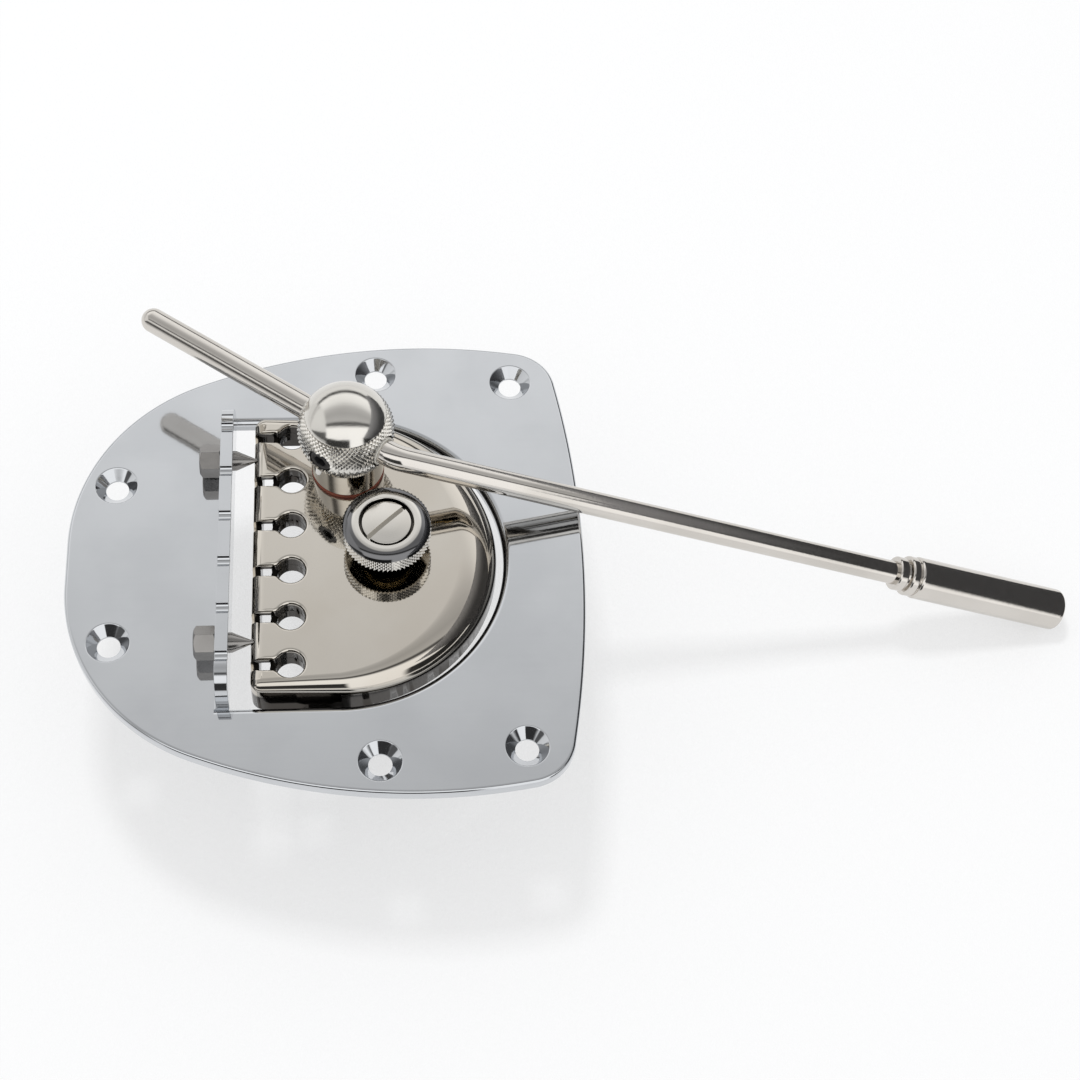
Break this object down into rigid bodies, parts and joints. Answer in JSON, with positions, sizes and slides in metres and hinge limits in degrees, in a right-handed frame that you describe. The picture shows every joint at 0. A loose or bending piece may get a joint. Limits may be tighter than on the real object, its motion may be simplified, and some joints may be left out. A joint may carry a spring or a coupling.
{
  "type": "guitar tremolo bridge",
  "caption": "Chrome guitar tremolo: a plate screwed to the body carries a sprung string plate with keyhole anchors that rocks on cone-pointed screws and a swivelling arm in a ball head.",
  "frame": {"origin": "on the plate's underside, which meets the guitar body, midway between the two side screw holes", "axes": "+X away from the neck towards the plate's bowed rear edge, +Y across the strings towards the arm's head, +Z out of the guitar's top"},
  "size_m": [0.2104, 0.1026, 0.0708],
  "materials": {
    "chrome_plate": "mirror polished plating",
    "warm_nickel": "polished, faintly warm nickel",
    "nickel": "polished nickel with knurled bands",
    "satin_nickel": "satin nickel",
    "dark_nickel": "dark nickel",
    "black_steel": "black oxide",
    "brass": "turned",
    "zinc_steel": "zinc plated",
    "spring_steel": "plain wire",
    "red_fibre": "matte fibre",
    "nylon": "smooth"
  },
  "bodies": {
    "frame": {"main_plate": "chrome_plate", "pivot_screw_far": "dark_nickel", "pivot_screw_near": "dark_nickel", "spring_bracket": "zinc_steel", "bracket_screws": "zinc_steel", "spring_seat": "zinc_steel"},
    "rocker": {"string_plate": "warm_nickel", "wheel_bush": "brass", "post_bush": "brass", "post_ring": "red_fibre", "main_spring": "spring_steel"},
    "knob": {"thumb_wheel": "nickel", "tension_screw": "nickel"},
    "nut": {"spring_nut": "brass", "spring_cup": "zinc_steel"},
    "arm_head": {"arm_post": "nickel", "post_washer": "zinc_steel", "post_lock_washer": "spring_steel", "post_nut": "zinc_steel", "arm_ball": "nickel", "ball_set_screw": "black_steel"},
    "liner": {"arm_liner": "nylon"},
    "arm": {"arm_rod": "satin_nickel", "arm_grip": "satin_nickel"}
  },
  "joints": [
    {"name": "string_plate_rock", "type": "hinge", "parent": "frame", "child": "rocker", "pos_m": [-0.0236, 0, 0.0067], "axis": [0, 1, 0], "range_deg": [-6, 0.5], "stiffness_Nm_per_rad": 6.8, "springref_deg": -0.52, "deforming": ["main_spring"]},
    {"name": "arm_swivel", "type": "hinge", "parent": "rocker", "child": "arm_head", "pos_m": [-0.0057, 0.0182, 0], "axis": [0, 0, 1], "range_deg": [0, 115]},
    {"name": "arm_roll", "type": "hinge", "parent": "arm_head", "child": "liner", "pos_m": [-0.0057, 0.0182, 0.02125], "axis": [0.8192, -0.5736, 0], "range_deg": [0, 90]},
    {"name": "arm_slide", "type": "slide", "parent": "liner", "child": "arm", "axis": [0.8192, -0.5736, 0], "range_m": [0, 0.025]},
    {"name": "tension_spin", "type": "hinge", "parent": "rocker", "child": "knob", "pos_m": [0.0019, 0, 0], "axis": [0, 0, 1], "range_deg": [-720, 720]},
    {"name": "spring_nut_travel", "type": "slide", "parent": "rocker", "child": "nut", "axis": [0, 0, 1], "range_m": [-0.0015, 0.0015]}
  ],
  "couplings": [
    {"joint": "spring_nut_travel", "follows": "tension_spin", "m_per_rad": -0.0001114}
  ]
}
